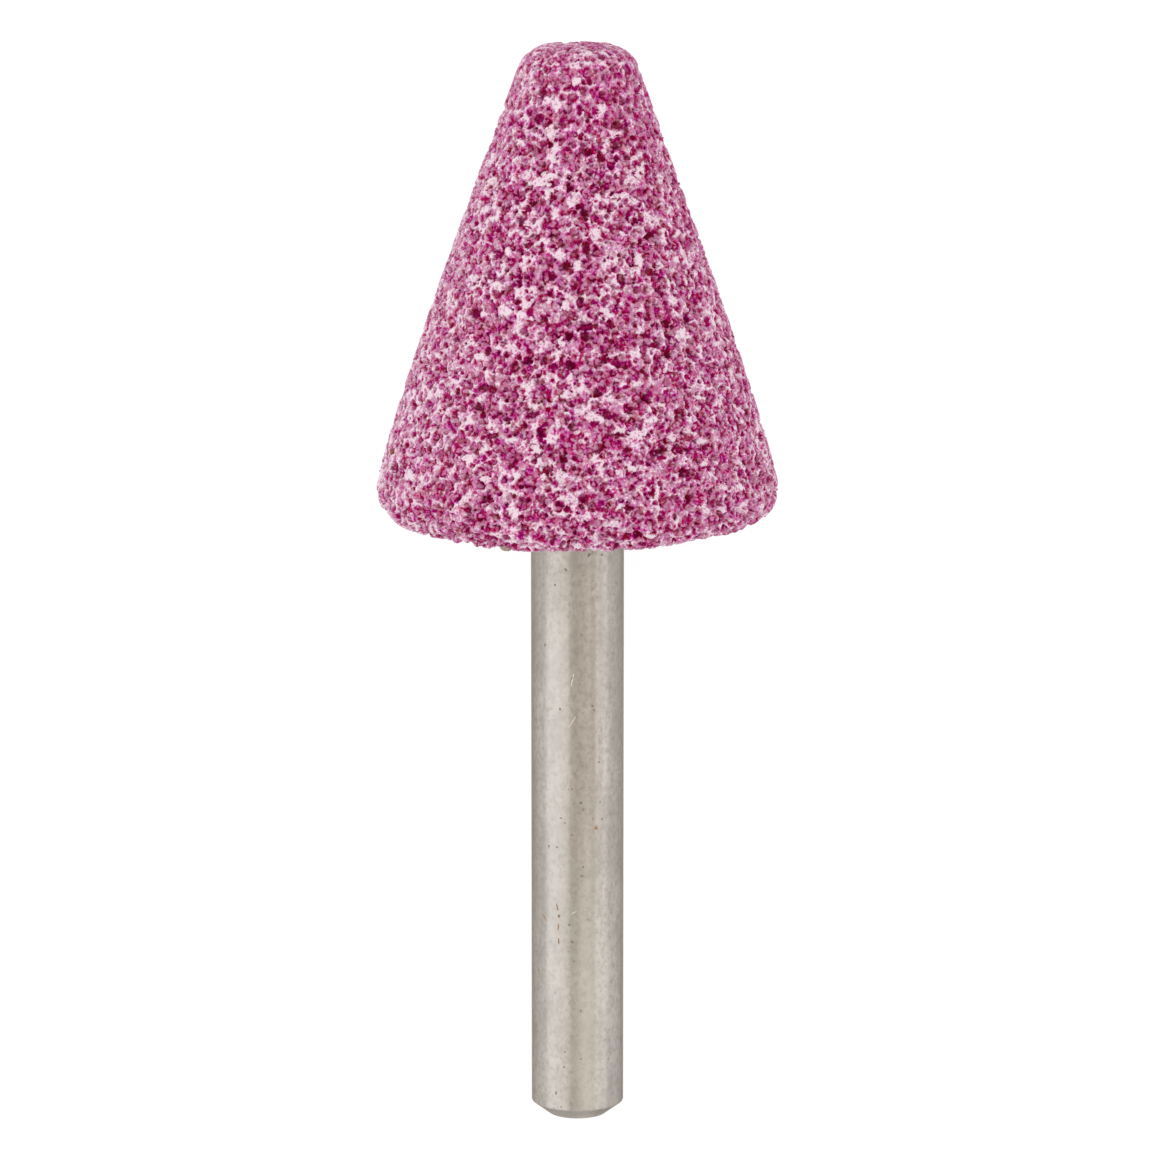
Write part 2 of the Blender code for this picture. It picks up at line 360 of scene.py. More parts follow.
def flake(shape, mark, proud, random):
    """One low closed blister on the shank, with a ragged outline and its underside in the steel."""
    height, around, length, width, lean = mark
    lean = math.radians(lean)
    rings = []
    for share, lift in ((1.0, -proud), (FLAKE_TOP_SHARE, proud * 0.8)):
        ring = []
        for number in range(FLAKE_CORNERS):
            turn = FULL_TURN * number / FLAKE_CORNERS
            reach = share * (1 + FLAKE_RAGGEDNESS * random.uniform(-1, 1))
            across = 0.5 * width * reach * math.cos(turn)
            along = 0.5 * length * reach * math.sin(turn)
            sideways = (across * math.cos(lean) - along * math.sin(lean)) / 1000
            up = (across * math.sin(lean) + along * math.cos(lean)) / 1000
            ring.append((sideways, up, lift))
        rings.append(ring)

    def on_steel(sideways, up, lift):
        angle = math.radians(around) + sideways / SHANK_RADIUS
        radius = SHANK_RADIUS + lift
        return shape.verts.new(
            (radius * math.sin(angle), -radius * math.cos(angle), height / 1000 + up)
        )

    outer, inner = ([on_steel(*point) for point in ring] for ring in rings)
    top = on_steel(0, 0, proud)
    bottom = on_steel(0, 0, -3 * proud)
    for number in range(FLAKE_CORNERS):
        after = (number + 1) % FLAKE_CORNERS
        shape.faces.new((outer[number], outer[after], inner[after], inner[number]))
        shape.faces.new((inner[number], inner[after], top))
        shape.faces.new((outer[after], outer[number], bottom))


def marks(name, places, proud, finish, seed):
    """All marks of one kind as one piece of the shank, each with an outline drawn at random."""
    random = np.random.default_rng(seed)
    shape = bmesh.new()
    for mark in places:
        flake(shape, mark, proud, random)
    bmesh.ops.recalc_face_normals(shape, faces=shape.faces)
    mesh = smooth_mesh(name, shape)
    mesh.materials.append(finish)
    return shown(mesh, "shank")


def crust_finish(name, dark, light, roughness, metallic):
    """A thin uneven crust, dark and light in small patches."""
    finish, tree, shader, where = new_finish(name)
    patches = between(tree, spread(tree, where, CRUST_PATCH, 3.0, 0.6), 0.38, 0.62)
    tree.links.new(blended(tree, patches, dark, light), shader.inputs["Base Color"])
    shader.inputs["Roughness"].default_value = roughness
    shader.inputs["Metallic"].default_value = metallic
    return finish


speck_finish = crust_finish("dirt_in_pits", (0.16, 0.14, 0.11), (0.30, 0.26, 0.22), 0.6, 0.3)
rust_finish = crust_finish("rust", (0.20, 0.12, 0.07), (0.42, 0.26, 0.15), 0.8, 0.0)
scratch_name = "bare_steel_in_scratches"
bare_finish = crust_finish(scratch_name, (0.58, 0.55, 0.51), (0.66, 0.63, 0.59), 0.45, 0.9)
marks("shank_specks", SPECKS, 0.000006, speck_finish, 3)
marks("shank_rust_spots", RUST_SPOTS, 0.000008, rust_finish, 5)
marks("shank_scratches", SCRATCHES, 0.000004, bare_finish, 8)

# Cement: the grey compound that fills the head's blind bore round the shank. Some is squeezed out
# at the mouth, where it sets as a low ragged fillet against the steel.
CEMENT_CLEARANCE = 0.00002
CEMENT_INNER = SHANK_RADIUS + CEMENT_CLEARANCE
CEMENT_OUTER = 0.00345
CEMENT_END = 0.0167
RIDGE_CLEARANCE = 0.00003
RIDGE_RECESS = 0.00004
COLLAR_RADIUS = 0.0043
COLLAR_ROOT = 0.00025
CEMENT_SEGMENTS = 160
DARK_CEMENT = (0.36, 0.32, 0.27)
PALE_CEMENT = (0.50, 0.46, 0.40)
SAND_TINT = (0.66, 0.62, 0.56)
SAND_RELIEF = 0.00003
RIPPLES_PER_METRE = (900, 2600)
RIPPLE_WIDTH = 0.045
RIPPLE_HEIGHT = 0.00016
COLLAR_DROOP = 0.00003


def cement_finish():
    finish, tree, shader, where = new_finish("cement_paste")
    clouds = between(tree, spread(tree, where, 0.0007, 4.0, 0.6), 0.35, 0.65)
    sand = between(tree, spread(tree, where, 0.00016, 3.0, 0.7, shift=2.0), 0.45, 0.7)
    colour = blended(tree, clouds, DARK_CEMENT, PALE_CEMENT)
    colour = blended(tree, times(tree, sand, 0.5), colour, SAND_TINT)
    tree.links.new(colour, shader.inputs["Base Color"])
    shader.inputs["Roughness"].default_value = 0.85
    raised(tree, shader, sand, SAND_RELIEF)
    return finish


# The squeezed-out collar's outline, from the steel to the head. Each is (radius, height).
COLLAR_OUTLINE = [
    (CEMENT_INNER, -0.00062), (0.00312, -0.00058), (0.00347, -0.00031),
    (0.00408, -0.00022), (COLLAR_RADIUS, -0.00006), (0.00422, COLLAR_ROOT),
]
sleeve_end = SHANK_BURIED_LENGTH + RIDGE_CLEARANCE
ridge = CEMENT_INNER - GROOVE_DEPTH + RIDGE_RECESS
cement_outline = [(0.0, sleeve_end), (CEMENT_INNER, sleeve_end)]
for start in reversed(GROOVE_STARTS):
    near = start + RIDGE_CLEARANCE
    far = start + GROOVE_WIDTH - RIDGE_CLEARANCE
    cement_outline += [(CEMENT_INNER, far), (ridge, far), (ridge, near), (CEMENT_INNER, near)]
cement_outline += COLLAR_OUTLINE
cement_outline += [(CEMENT_OUTER, COLLAR_ROOT), (CEMENT_OUTER, CEMENT_END), (0.0, CEMENT_END)]
cement_mesh = turned("cement_sleeve", cement_outline, CEMENT_SEGMENTS)
for point in cement_mesh.vertices:
    outer_share = (point.co.xy.length - CEMENT_INNER) / (COLLAR_RADIUS - CEMENT_INNER)
    if point.co.z < 0 and outer_share > 0.02:
        broad, fine = (noise.noise(point.co * ripples) for ripples in RIPPLES_PER_METRE)
        ripple = broad + 0.5 * fine
        rise = RIPPLE_HEIGHT * ripple * outer_share * (1 - outer_share) * 4
        point.co.xy *= 1 + RIPPLE_WIDTH * ripple * outer_share
        point.co.z += rise - COLLAR_DROOP * outer_share
cement_mesh.materials.append(cement_finish())
shown(cement_mesh, "bonding_cement")

# Grinding head, form: a pressed and fired cone, trued with a diamond. Its outline runs from the
# mouth of its bore over the rim and the bowed flank to the middle of the tip.
HEAD_LENGTH = 0.03050
HEAD_CORNER_RADIUS = 0.013779
TIP_CORNER_RADIUS = 0.00338
RIM_ROUNDING = 0.0021
TIP_ROUNDING = 0.0022
FLANK_BOW = 0.00024
BORE_RADIUS = 0.0036
BORE_DEPTH = 0.0169
SKIN_STEP = 0.00008
SKIN_THICKNESS = 0.0011
RIM_FLAT_HALF_ANGLE = math.radians(9.0)
RIM_FLAT_LENGTH = 0.0040


def arc(centre, radius, start, end):
    """Points round a centre, from one angle to another, both ends included."""
    steps = round(abs(end - start) * radius / SKIN_STEP)
    angles = [start + (end - start) * step / steps for step in range(steps + 1)]
    return [(centre[0] + radius * math.cos(a), centre[1] + radius * math.sin(a)) for a in angles]


def straight(start, end, bow=0.0):
    """Points between two ends, both left out, bowed out sideways, and more so near the first."""
    along = Vector(end) - Vector(start)
    outward = Vector((along.y, -along.x)).normalized()
    steps = max(1, round(along.length / SKIN_STEP))
    points = []
    for step in range(1, steps):
        share = step / steps
        bulge = bow * 4 * share * (1 - share) * (1.6 - 1.2 * share)
        points.append(tuple(Vector(start) + along * share + outward * bulge))
    return points


lean = math.atan2(HEAD_CORNER_RADIUS - TIP_CORNER_RADIUS, HEAD_LENGTH)
rim_inset = RIM_ROUNDING / math.tan((math.pi / 2 - lean) / 2)
tip_inset = TIP_ROUNDING / math.tan((math.pi / 2 + lean) / 2)
rim_centre = (HEAD_CORNER_RADIUS - rim_inset, RIM_ROUNDING)
tip_centre = (TIP_CORNER_RADIUS - tip_inset, HEAD_LENGTH - TIP_ROUNDING)
rim = arc(rim_centre, RIM_ROUNDING, -math.pi / 2, lean)
tip = arc(tip_centre, TIP_ROUNDING, lean, math.pi / 2)
mouth = (BORE_RADIUS, 0.0)
summit = (0.0, HEAD_LENGTH)
line = [mouth] + straight(mouth, rim[0]) + rim + straight(rim[-1], tip[0], FLANK_BOW) + tip
line = np.array(line + straight(tip[-1], summit) + [summit])
steps = np.gradient(line, axis=0)
line_out = np.stack((steps[:, 1], -steps[:, 0]), axis=1) / np.linalg.norm(steps, axis=1)[:, None]

# The dresser didn't leave the rim quite even. Each is (degrees round from the top, how far the rim
# is nearer to the shank there, in millimetres). It shows between two radii and two heights.
RIM_SWAY = (
    (-95, 0.0), (-77, 0.28), (-68, 0.22), (-50, 0.10), (-35, 0.16), (-18, 0.16), (-6, 0.06),
    (0, 0.02), (30, 0.04), (38, -0.20), (43, -0.10), (49, 0.0), (58, 0.05), (72, 0.06),
    (82, 0.24), (98, 0.0),
)
RIM_SWAY_RADII = (0.0095, 0.0120)
RIM_SWAY_HEIGHTS = (0.0015, 0.0060)

# The middle of the tip is a little to the right of the axis.
TIP_SWAY = 0.00006
TIP_SWAY_HEIGHTS = (0.022, 0.029)

# The largest cut grains, which lie pale and flush with the trued skin, and the deepest pits between
# grains. Each is (height along the tool, degrees round from the top, length, width, lean), in
# millimetres and degrees.
PALE_GRAINS = (
    (30.3, 34.7, 0.5, 1.1, -45), (29.7, -2.6, 0.7, 0.7, 0), (28.7, -0.4, 0.5, 0.6, 0),
    (27.5, -23.0, 0.6, 1.0, 0), (27.0, 19.6, 0.8, 0.6, 0), (25.6, -18.9, 0.9, 0.8, 15),
    (24.5, -15.5, 1.2, 0.4, -10), (23.0, -17.1, 0.5, 1.2, -10), (22.5, -24.0, 0.4, 1.6, 0),
    (22.3, -10.0, 0.5, 0.7, 0), (22.7, 33.9, 0.6, 1.2, 0), (23.2, 42.1, 0.5, 1.0, 30),
    (21.8, 25.7, 0.4, 1.7, 0), (21.5, -3.5, 0.6, 0.8, 0), (20.3, -27.4, 1.0, 0.4, 10),
    (18.2, -34.8, 0.8, 0.6, 0), (18.3, -9.1, 0.5, 0.8, -20), (17.7, -0.2, 0.8, 0.6, 0),
    (16.2, -36.8, 0.6, 1.0, -20), (15.3, -5.1, 0.8, 0.6, 0), (14.8, -30.7, 0.7, 1.0, 0),
    (14.6, -23.1, 0.6, 0.7, 0), (12.6, -25.1, 0.5, 1.1, -25), (11.9, -37.8, 0.5, 1.0, 0),
    (13.1, -6.2, 0.8, 0.5, 0), (16.4, -52.7, 0.6, 1.1, 0), (19.6, 9.8, 0.6, 0.8, -45),
    (17.9, 29.5, 1.0, 0.7, 0), (15.0, 11.6, 0.8, 0.7, 0), (15.2, 43.8, 0.6, 0.8, 0),
    (13.2, 43.5, 0.7, 1.0, 30), (10.4, -17.0, 0.5, 0.8, 0), (9.9, -3.5, 0.6, 0.8, 0),
    (6.7, -12.6, 0.5, 0.7, -30), (5.7, -35.2, 0.8, 1.0, 0), (4.6, -28.1, 0.5, 0.9, 0),
    (5.2, -4.9, 0.7, 0.9, 30), (3.9, -59.3, 0.6, 1.5, 0), (2.8, -18.6, 0.6, 0.8, 0),
    (8.7, 4.4, 0.8, 0.8, 0), (7.5, 19.2, 0.7, 1.2, 10), (8.2, 24.5, 0.5, 1.0, 20),
    (7.1, 31.9, 0.5, 0.9, 0), (5.5, 16.8, 0.5, 0.8, 0), (5.2, 12.7, 0.6, 0.6, 0),
    (1.1, 21.3, 0.5, 0.8, 0),
)
DEEP_PITS = (
    (26.4, -31.8, 0.6, 0.9, 0), (25.0, 28.5, 0.8, 0.8, 0), (24.5, 6.9, 0.5, 0.7, 0),
    (24.2, 15.3, 0.6, 0.6, 0), (22.4, -4.8, 0.6, 0.6, 0), (20.7, 4.0, 0.7, 0.5, 0),
    (26.0, 31.8, 0.5, 0.8, 0), (20.2, -30.3, 0.8, 0.6, 0), (18.1, -40.0, 0.5, 0.8, 30),
    (18.8, -24.3, 0.5, 0.7, 30), (18.7, 4.1, 1.0, 0.5, 20), (17.8, -4.3, 0.5, 0.6, 0),
    (15.5, 1.1, 0.8, 0.6, 20), (14.0, 3.7, 0.5, 1.2, 5), (13.4, -3.6, 0.6, 0.5, 0),
    (11.9, -18.2, 0.6, 0.6, 0), (11.9, -12.2, 0.6, 0.5, 0), (11.7, -2.7, 0.8, 0.5, 20),
    (14.4, -45.4, 0.8, 0.9, 0), (19.2, 38.6, 0.6, 0.8, 0), (16.7, 19.2, 0.8, 0.7, 30),
    (17.0, 35.0, 0.6, 0.8, 0), (12.7, 30.4, 0.6, 0.7, 0), (12.1, 34.9, 0.6, 0.9, -20),
    (14.1, 13.2, 0.7, 0.6, 20), (12.0, 10.1, 0.6, 0.8, 30), (14.0, 49.9, 0.8, 0.7, 0),
    (8.9, -34.6, 0.6, 0.7, 0), (8.2, -23.0, 0.5, 0.6, 0), (8.7, -15.0, 0.5, 0.8, 0),
    (7.2, -29.0, 0.4, 1.0, 10), (7.6, -11.6, 1.0, 0.6, 0), (5.4, -9.1, 0.8, 0.8, 0),
    (6.2, -4.4, 0.9, 0.5, 0), (4.0, -70.4, 0.8, 1.5, 0), (3.4, -26.6, 0.5, 0.9, -10),
    (8.8, 9.7, 0.6, 0.9, -30), (9.6, 24.2, 0.8, 0.6, 10), (8.6, 35.9, 0.5, 1.0, -30),
    (7.5, 12.6, 0.4, 1.2, 0), (6.4, 26.9, 0.6, 0.7, 20), (6.4, 33.7, 0.6, 1.0, -20),
    (4.9, 34.1, 0.7, 0.9, 0), (3.1, 14.6, 0.4, 0.8, 0), (2.1, 2.6, 0.6, 0.6, -30),
    (1.8, -15.3, 0.6, 0.5, 0),
)
MARK_LIMIT = 1.5
MARK_REACH = 0.0018
INNER_ROWS = 6
POLE_RADIUS = 1e-6


def skin_spot(height, around):
    """A place on the trued skin and its ways sideways, up the flank and out of the stone."""
    row = int(np.argmin(np.abs(line[:, 1] - height / 1000)))
    angle = math.radians(around - 90)
    level = np.array((math.cos(angle), math.sin(angle), 0.0))
    upright = np.array((0.0, 0.0, 1.0))
    place = level * line[row, 0] + upright * line[row, 1]
    out = level * line_out[row, 0] + upright * line_out[row, 1]
    sideways = np.array((-level[1], level[0], 0.0))
    return place, sideways, np.cross(out, sideways), out


def mark_shares(places):
    """How much each place is on a pale grain, up to 1.5, or in a deep pit, down to -1.5."""
    shares = np.zeros(places.shape[:2])
    for marks, sign in ((PALE_GRAINS, 1.0), (DEEP_PITS, -1.0)):
        for height, around, length, width, tilt in marks:
            place, sideways, upward, out = skin_spot(height, around)
            near = np.abs(places[:, 0, 2] - place[2]) < MARK_REACH
            apart = (places[near] - place) * 1000
            aside, along = apart @ sideways, apart @ upward
            turn = math.radians(tilt)
            across = (aside * math.cos(turn) + along * math.sin(turn)) / (width / 2)
            onward = (along * math.cos(turn) - aside * math.sin(turn)) / (length / 2)
            reach = np.sqrt(across**2 + onward**2 + (apart @ out) ** 2)
            shares[near] += sign * np.clip(MARK_LIMIT - reach, 0.0, MARK_LIMIT)
    return shares


def skin_band(name, first, last, segments):
    """One closed band of the head, from one point of its outline to another. Its outer side is the
    trued skin, and its inner side and end walls are out of sight. Each point knows which way is out
    of the stone, and the hidden ones have no way out, so that only the skin gets pores."""
    outer = np.arange(first, last + 1)
    inner = np.linspace(last, first, INNER_ROWS).round().astype(int)
    rows = np.concatenate((line[outer], line[inner] - line_out[inner] * SKIN_THICKNESS))
    ways = np.concatenate((line_out[outer], line_out[inner] * 0.0))
    rows[:, 0] = np.maximum(rows[:, 0], 0.0)
    turns = FULL_TURN * np.arange(segments) / segments
    around = np.stack((np.cos(turns), np.sin(turns)), axis=1)
    places = np.empty((len(rows), segments, 3))
    places[:, :, :2] = rows[:, None, 0:1] * around[None]
    places[:, :, 2] = rows[:, None, 1]
    outward = np.empty_like(places)
    outward[:, :, :2] = ways[:, None, 0:1] * around[None]
    outward[:, :, 2] = ways[:, None, 1]
    degrees = (np.degrees(turns) + 90 + 180) % 360 - 180
    sway = np.interp(degrees, *zip(*RIM_SWAY)) / 1000
    at_rim = np.interp(rows[:, 0], RIM_SWAY_RADII, (0, 1))
    at_rim = at_rim * np.interp(rows[:, 1], RIM_SWAY_HEIGHTS, (1, 0))
    places[:, :, 2] -= at_rim[:, None] * sway[None]
    places[:, :, 0] += np.interp(rows[:, 1], TIP_SWAY_HEIGHTS, (0.0, TIP_SWAY))[:, None]
    worn_to = rows[:, None, 0] * math.cos(RIM_FLAT_HALF_ANGLE)
    worn = (places[:, :, 1] > worn_to) & (places[:, :, 2] < RIM_FLAT_LENGTH)
    places[:, :, 1] = np.where(worn, worn_to, places[:, :, 1])
    outward[worn] = 0.0
    count = len(rows)
    row, step = np.meshgrid(np.arange(count), np.arange(segments), indexing="ij")
    here = row * segments
    below = (row + 1) % count * segments
    beside = (step + 1) % segments
    corners = np.stack((here + step, here + beside, below + beside, below + step), axis=2)
    corners = corners.reshape(-1, 4)
    mesh = bpy.data.meshes.new(name)
    mesh.vertices.add(count * segments)
    mesh.vertices.foreach_set("co", places.ravel())
    mesh.loops.add(corners.size)
    mesh.loops.foreach_set("vertex_index", corners.ravel().astype(np.int32))
    mesh.polygons.add(len(corners))
    mesh.polygons.foreach_set("loop_start", np.arange(0, corners.size, 4, dtype=np.int32))
    mesh.update(calc_edges=True)
    way = mesh.attributes.new("way_out", "FLOAT_VECTOR", "POINT")
    way.data.foreach_set("vector", outward.ravel())
    mark = mesh.attributes.new("mark", "FLOAT", "POINT")
    mark.data.foreach_set("value", mark_shares(places).ravel())
    if rows[:, 0].min() < POLE_RADIUS:
        shape = bmesh.new()
        shape.from_mesh(mesh)
        pole = [point for point in shape.verts if point.co.xy.length < POLE_RADIUS]
        bmesh.ops.remove_doubles(shape, verts=pole, dist=POLE_RADIUS)
        loose = [edge for edge in shape.edges if not edge.link_faces]
        bmesh.ops.delete(shape, geom=loose, context="EDGES")
        shape.to_mesh(mesh)
        shape.free()
    return mesh


# Grinding head, pores: bubbles between the grains, which the diamond cut open into bowls of many
# sizes. Most are shallow, and a few are deep. Small chips have broken away at the rim.
PORE_KINDS = (
    {"apart": 0.00066, "radii": (0.34, 0.66), "depths": (0.00004, 0.00016), "shift": 0.0},
    {"apart": 0.00042, "radii": (0.26, 0.60), "depths": (0.00003, 0.00014), "shift": 0.31},
)
RAGGEDNESS = 0.00012
RAGGED_SIZE = 0.00028
GRAIN_SIZE = 0.00040
GRAIN_STEP = 0.000025
CREVICE_WIDTHS = (0.01, 0.80)
CREVICE_PATCH = 0.00034
CREVICE_DEPTH = 0.00007
PIT_DEPTH = 0.00013
MARK_FRAY = 2.4
MARK_FRAY_SIZE = 0.00028
MARK_EDGES = (0.50, 0.74)
CHIP_SIZE = 0.0015
CHIP_DEPTH = 0.00030
LUMP_SIZE = 0.00125
LUMP_DEPTH = 0.00110
LUMP_FLOOR = 0.46
RIM_LUMPS = 1.5
RIM_HEIGHTS = (0.0034, 0.0018)
TIP_LUMPS = 0.25
TIP_HEIGHTS = (0.024, 0.029)
MOUTH_SHELTER = 0.95
MOUTH_RADII = (0.0068, 0.0046)
GRIT_SIZE = 0.00020
SKIN_RELIEF = 0.00003
PORE_RELIEF = 0.00008


def moved(tree, place, ways):
    """A place moved by three lengths, or by another node's output."""
    return add(tree, "ShaderNodeVectorMath", {0: place, 1: ways}, operation="ADD").outputs[0]


def scaled(tree, way, length):
    """A way made longer or shorter."""
    made = add(tree, "ShaderNodeVectorMath", {0: way, "Scale": length}, operation="SCALE")
    return made.outputs[0]


def level_part(tree, place):
    """The part of a place that points straight out from the tool's axis."""
    made = add(tree, "ShaderNodeVectorMath", {0: place, 1: (1, 1, 0)}, operation="MULTIPLY")
    return made.outputs[0]


def bowls(tree, place, apart, radii, depths, shift):
    """Cut bubbles: their depth at a place, and its distance from the middle of the nearest one, as
    a share of that one's radius."""
    values = {"Vector": moved(tree, place, (shift, shift, shift)), "Scale": 1 / apart}
    cells = add(tree, "ShaderNodeTexVoronoi", values).outputs
    chance = split(tree, cells["Color"])
    radius = between(tree, chance[0], 0.0, 1.0, *radii)
    share = times(tree, cells["Distance"], radius, "DIVIDE")
    bowl = times(tree, times(tree, 1.0, times(tree, share, share), "SUBTRACT"), 1.7)
    bowl = times(tree, times(tree, bowl, 0.0, "MAXIMUM"), 1.0, "MINIMUM")
    return times(tree, bowl, between(tree, chance[1], 0.2, 1.0, *depths)), share


def open_pores(tree, place, mark):
    """How deep the pore at a place is, in metres, how far the place is from the middle of the
    nearest pore, as a share of its radius, how much it lies in a crevice between the grains of the
    pore's bottom, how much it is on a large pale grain, and its grain's random numbers."""
    fray = times(tree, spread(tree, place, MARK_FRAY_SIZE, 2.0, 0.6, shift=0.8), 0.5, "SUBTRACT")
    frayed = plus(tree, mark, fray, MARK_FRAY)
    pale = between(tree, frayed, *MARK_EDGES)
    pit = between(tree, times(tree, frayed, -1.0), *MARK_EDGES)
    values = {"Vector": place, "Scale": 1 / RAGGED_SIZE, "Detail": 2.0, "Roughness": 0.6}
    waver = add(tree, "ShaderNodeTexNoise", values).outputs["Color"]
    offset = scaled(tree, moved(tree, waver, (-0.5, -0.5, -0.5)), RAGGEDNESS * 2)
    ragged = moved(tree, place, offset)
    large, small = (bowls(tree, ragged, **kind) for kind in PORE_KINDS)
    depth = times(tree, large[0], small[0], "MAXIMUM")
    share = times(tree, large[1], small[1], "MINIMUM")
    share = times(tree, share, between(tree, pit, 0.0, 1.0, 1.0, 0.2))
    share = plus(tree, share, pale, 1.2)
    depth = times(tree, depth, times(tree, 1.0, pale, "SUBTRACT"))
    depth = plus(tree, depth, pit, PIT_DEPTH)
    sites = {"Vector": moved(tree, ragged, (0.0, 0.0, 0.57)), "Scale": 1 / GRAIN_SIZE}
    nearest = add(tree, "ShaderNodeTexVoronoi", sites).outputs
    second = add(tree, "ShaderNodeTexVoronoi", sites, feature="F2").outputs
    grain = split(tree, nearest["Color"])
    inside = between(tree, share, 1.10, 0.85)
    gap = times(tree, second["Distance"], nearest["Distance"], "SUBTRACT")
    patch = spread(tree, place, CREVICE_PATCH, 1.0, 0.5, shift=0.2)
    width = between(tree, patch, 0.36, 0.64, *CREVICE_WIDTHS)
    crevice = times(tree, between(tree, times(tree, gap, width, "DIVIDE"), 1.0, 0.2), inside)
    crevice = times(tree, crevice, times(tree, pit, 0.78), "MAXIMUM")
    depth = plus(tree, depth, times(tree, grain[2], inside), GRAIN_STEP)
    depth = plus(tree, depth, crevice, CREVICE_DEPTH)
    return depth, share, crevice, pale, grain


def broken_away(tree, place):
    """How much of the trued skin has broken away at a place, in metres, in small chips at the rim
    and in lumps all over. The lumps are rougher at the rim and finer at the tip, and the cement
    keeps them away from the mouth of the bore."""
    height = split(tree, place)[2]
    at_rim = between(tree, height, *RIM_HEIGHTS)
    chip = between(tree, spread(tree, place, CHIP_SIZE, 2.0, 0.5, shift=0.7), 0.54, 0.72)
    chipped = times(tree, times(tree, chip, at_rim), CHIP_DEPTH)
    lumps = spread(tree, place, LUMP_SIZE, 2.0, 0.6, shift=0.4)
    low = times(tree, times(tree, lumps, LUMP_FLOOR, "SUBTRACT"), 0.0, "MAXIMUM")
    lumpiness = between(tree, at_rim, 0.0, 1.0, LUMP_DEPTH, LUMP_DEPTH * RIM_LUMPS)
    lumpiness = times(tree, lumpiness, between(tree, height, *TIP_HEIGHTS, 1.0, TIP_LUMPS))
    level = level_part(tree, place)
    radius = add(tree, "ShaderNodeVectorMath", {0: level}, operation="LENGTH").outputs["Value"]
    at_mouth = times(tree, between(tree, radius, *MOUTH_RADII, 0.0, MOUTH_SHELTER), at_rim)
    lumpiness = times(tree, lumpiness, times(tree, 1.0, at_mouth, "SUBTRACT"))
    return plus(tree, chipped, low, lumpiness)


def new_tree(name, inputs):
    """A geometry tree with the given inputs, each (name, socket type)."""
    tree = bpy.data.node_groups.new(name, "GeometryNodeTree")
    tree.interface.new_socket("Geometry", in_out="INPUT", socket_type="NodeSocketGeometry")
    for label, kind in inputs:
        tree.interface.new_socket(label, in_out="INPUT", socket_type=kind)
    tree.interface.new_socket("Geometry", in_out="OUTPUT", socket_type="NodeSocketGeometry")
    return tree, add(tree, "NodeGroupInput").outputs, add(tree, "NodeGroupOutput").inputs[0]


def grown(mesh, tree, values):
    """The mesh that a geometry tree makes of this one, with the tree's inputs set by name."""
    carrier = bpy.data.objects.new("carrier", mesh)
    scene.collection.objects.link(carrier)
    modifier = carrier.modifiers.new("growth", "NODES")
    modifier.node_group = tree
    for item in tree.interface.items_tree:
        if item.in_out == "INPUT" and item.name in values:
            modifier[item.identifier] = values[item.name]
    finished = carrier.evaluated_get(bpy.context.evaluated_depsgraph_get())
    result = bpy.data.meshes.new_from_object(finished)
    carrier.modifiers.remove(modifier)
    bpy.data.objects.remove(carrier)
    bpy.data.meshes.remove(mesh)
    return result


def pore_tree():
    """Sinks the pores into a band of the head, and keeps where each point of its skin was."""
    tree, given, out = new_tree(
        "skin_with_open_pores",
        (
            ("Skin relief", "NodeSocketFloat"),
            ("Pore relief", "NodeSocketFloat"),
            ("Finish", "NodeSocketMaterial"),
        ),
    )
    place = add(tree, "GeometryNodeInputPosition").outputs[0]
    stored = "GeometryNodeInputNamedAttribute"
    mark = add(tree, stored, {"Name": "mark"}, data_type="FLOAT").outputs[0]
    way_out = add(tree, stored, {"Name": "way_out"}, data_type="FLOAT_VECTOR").outputs[0]
    depth, share, _, _, _ = open_pores(tree, place, mark)
    depth = times(tree, depth, broken_away(tree, place), "ADD")
    relief = between(tree, share, 1.1, 0.8, given["Skin relief"], given["Pore relief"])
    grit = spread(tree, place, GRIT_SIZE, 2.0, 0.6)
    depth = plus(tree, depth, grit, relief)
    kept = add(
        tree,
        "GeometryNodeStoreNamedAttribute",
        {"Geometry": given["Geometry"], "Name": "skin_place", "Value": place},
        data_type="FLOAT_VECTOR",
        domain="POINT",
    ).outputs[0]
    inward = scaled(tree, way_out, times(tree, depth, -1.0))
    sunk = add(tree, "GeometryNodeSetPosition", {"Geometry": kept, "Offset": inward}).outputs[0]
    clean = add(tree, "GeometryNodeRemoveAttribute", {"Geometry": sunk, "Name": "way_out"})
    finished = add(
        tree, "GeometryNodeSetMaterial", {"Geometry": clean.outputs[0], "Material": given["Finish"]}
    )
    tree.links.new(finished.outputs[0], out)
    return tree


# Pink fused alumina. Dust and cut grains at the trued skin are pale and the grains' sides are a clear
# pink. The pores, their crevices and the deep pits are painted darker, down to deep crimson at the
# bottoms: painted shade.
TONES = (
    (0.00, (0.120, 0.000, 0.024)),
    (0.12, (0.218, 0.006, 0.055)),
    (0.30, (0.345, 0.040, 0.144)),
    (0.50, (0.440, 0.105, 0.250)),
    (0.68, (0.516, 0.212, 0.366)),
    (0.84, (0.622, 0.360, 0.508)),
    (1.00, (0.765, 0.634, 0.728)),
)

# What makes the stone lighter or darker than its middle tone, and the sizes of the patterns.
MIDDLE_TONE = 0.70
# Painted shade: how much darker the stone is deep in pores and in crevices.
DEPTH_SHADE = -0.36
SUNK_DEPTHS = (0.00002, 0.00030)
CREVICE_SHADE = -0.36
GRAIN_TONE = 0.12
CLOUD_TONE = 0.62
CLOUD_SIZE = 0.00036
CLUMP_TONE = 0.20
CLUMP_SIZE = 0.0009
FLECK_SIZE = 0.00016
DUSTY_FLECKS = 0.78
DUST_TONE = 0.39
